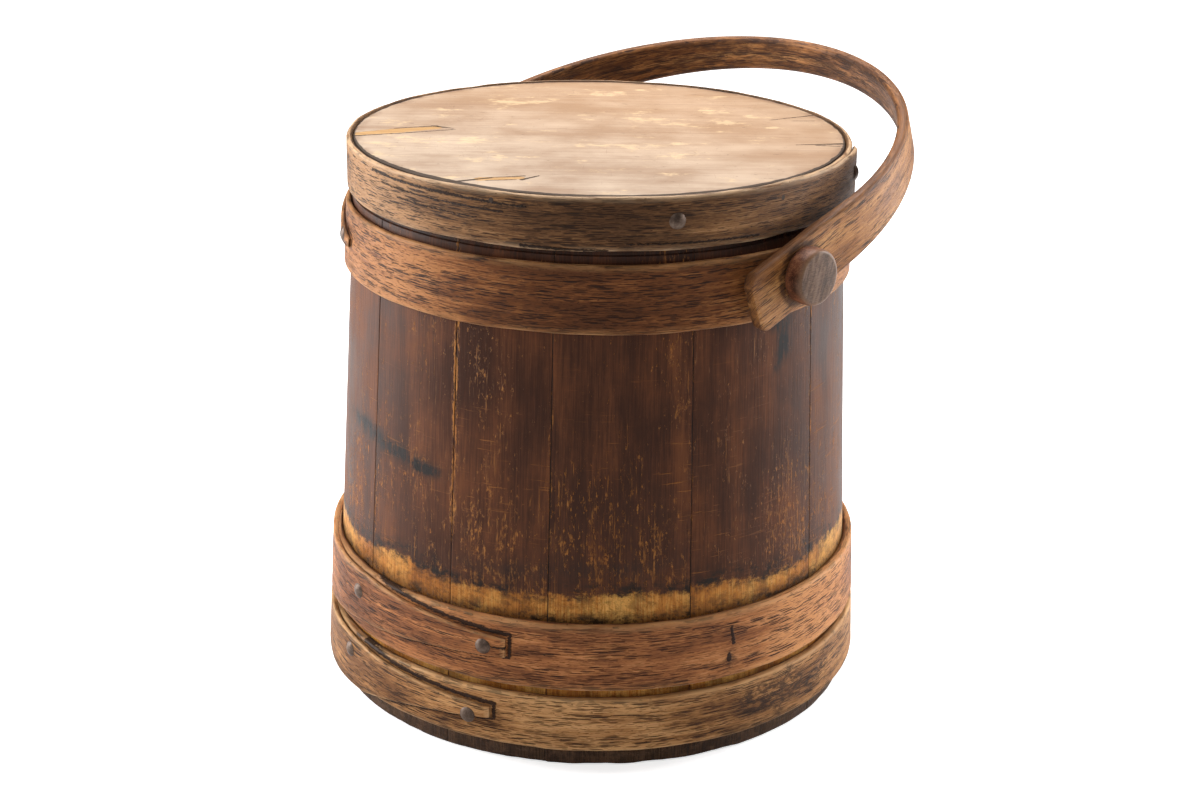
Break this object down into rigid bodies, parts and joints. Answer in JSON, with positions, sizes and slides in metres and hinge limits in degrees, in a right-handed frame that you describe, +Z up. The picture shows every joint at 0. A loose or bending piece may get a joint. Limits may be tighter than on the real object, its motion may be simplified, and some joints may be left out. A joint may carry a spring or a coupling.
{
  "type": "milk pail",
  "caption": "Lidded staved wooden pail, wider at its foot, with three lapped wooden hoops, a bent wooden bail on turned pegs and a lift-off banded lid.",
  "frame": {"origin": "centre of the ring of stave feet, on the floor, on the pail's axis", "axes": "+Z up the pail's axis; X along the two handle pegs; the bail leans back towards +Y at rest"},
  "size_m": [0.3098, 0.3248, 0.3241],
  "materials": {
    "stave_paint": "old dark red-brown paint worn thin over wood",
    "bottom_wood": "bare aged wood",
    "hoop_top_wood": "bare aged oak or ash, rubbed",
    "hoop_low_wood": "bare aged oak or ash, grimy",
    "tack_metal": "dull, patinated",
    "handle_wood": "bare bent ash, polished by hands",
    "peg_wood": "turned hardwood, smooth and dark",
    "pin_wood": "bare split wood",
    "lid_board_wood": "worn bare wood with nicks",
    "lid_band_wood": "bare aged oak or ash, grimy",
    "brad_iron": "rusted dark"
  },
  "bodies": {
    "pail": {"stave_01": "stave_paint", "stave_02": "stave_paint", "stave_03": "stave_paint", "stave_04": "stave_paint", "stave_05": "stave_paint", "stave_06": "stave_paint", "stave_07": "stave_paint", "stave_08": "stave_paint", "stave_09": "stave_paint", "stave_10": "stave_paint", "stave_11": "stave_paint", "stave_12": "stave_paint", "stave_13": "stave_paint", "bottom_board": "bottom_wood", "hoop_top": "hoop_top_wood", "hoop_middle": "hoop_low_wood", "hoop_bottom": "hoop_low_wood", "hoop_top_tacks": "tack_metal", "hoop_middle_tacks": "tack_metal", "hoop_bottom_tacks": "tack_metal", "handle_peg_right": "peg_wood", "handle_peg_left": "peg_wood", "peg_pin_right": "pin_wood", "peg_pin_left": "pin_wood"},
    "bail": {"handle": "handle_wood"},
    "lid": {"lid_board": "lid_board_wood", "lid_band": "lid_band_wood", "lid_band_tacks": "tack_metal", "lid_brads": "brad_iron"}
  },
  "joints": [
    {"name": "bail_swing", "type": "hinge", "parent": "pail", "child": "bail", "pos_m": [0, 0, 0.2522], "axis": [1, 0, 0], "range_deg": [-56, 194.5]},
    {"name": "lid_lift", "type": "slide", "parent": "pail", "child": "lid", "axis": [0, 0, 1], "range_m": [0, 0.018]}
  ]
}
